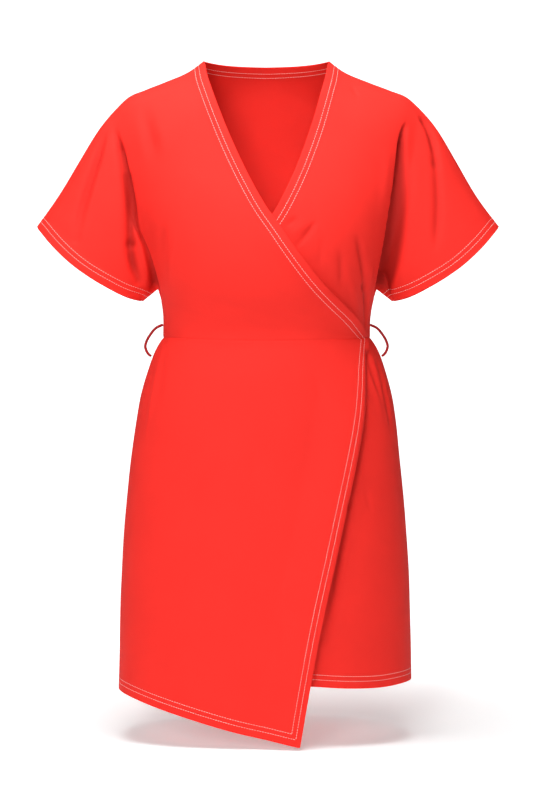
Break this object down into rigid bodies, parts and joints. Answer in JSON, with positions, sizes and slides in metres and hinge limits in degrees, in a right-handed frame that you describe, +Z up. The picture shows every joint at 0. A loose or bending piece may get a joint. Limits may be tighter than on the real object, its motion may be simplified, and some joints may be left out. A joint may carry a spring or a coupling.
{
  "type": "wrap dress",
  "caption": "Short wrap dress, filled out as worn: V neck, short kimono sleeves, waist seam, belt loops and a slanted overlap that ends in a pointed corner.",
  "frame": {"origin": "midway between the two points where the neck edge crosses the shoulders, where the wearer's shoulders hold the dress", "axes": "+Z up, -Y is the front of the dress, +X is the wearer's left, on the right of someone who looks at the front"},
  "size_m": [0.637, 0.2661, 0.9313],
  "materials": {
    "red_crepe": "matt crepe weave",
    "red_rouleau": "matt crepe weave, turned into a narrow tube"
  },
  "bodies": {
    "root": {"bodice_front_right": "red_crepe", "bodice_front_left": "red_crepe", "bodice_back": "red_crepe", "skirt_front_right": "red_crepe", "skirt_front_left": "red_crepe", "skirt_back": "red_crepe", "belt_loop_right": "red_rouleau", "belt_loop_left": "red_rouleau"}
  },
  "joints": []
}
